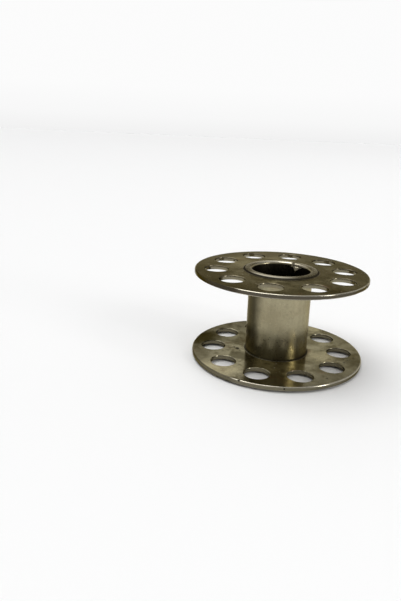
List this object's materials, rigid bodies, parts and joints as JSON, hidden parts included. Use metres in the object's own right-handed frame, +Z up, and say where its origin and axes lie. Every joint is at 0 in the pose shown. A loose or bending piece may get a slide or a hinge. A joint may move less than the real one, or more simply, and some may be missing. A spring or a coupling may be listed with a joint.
{
  "type": "sewing machine bobbin",
  "caption": "Small metal thread bobbin: two flat round flanges pierced with a ring of holes, joined by a rolled hollow hub whose ends are spun over them as lips.",
  "frame": {"origin": "centre of the bobbin's foot: on the spindle axis, in the plane of the lower lip that it stands on", "axes": "+Z up along the spindle axis, -Y towards the viewer of the picture, +X to the right"},
  "size_m": [0.0202, 0.0202, 0.0108],
  "materials": {
    "sleeve_nickel": "satin nickel plate on rolled steel strip, worn and slightly tarnished",
    "flange_nickel": "satin nickel plate on pressed steel sheet, worn and slightly tarnished"
  },
  "bodies": {
    "root": {"hub_sleeve": "sleeve_nickel", "upper_flange": "flange_nickel", "lower_flange": "flange_nickel"}
  },
  "joints": []
}
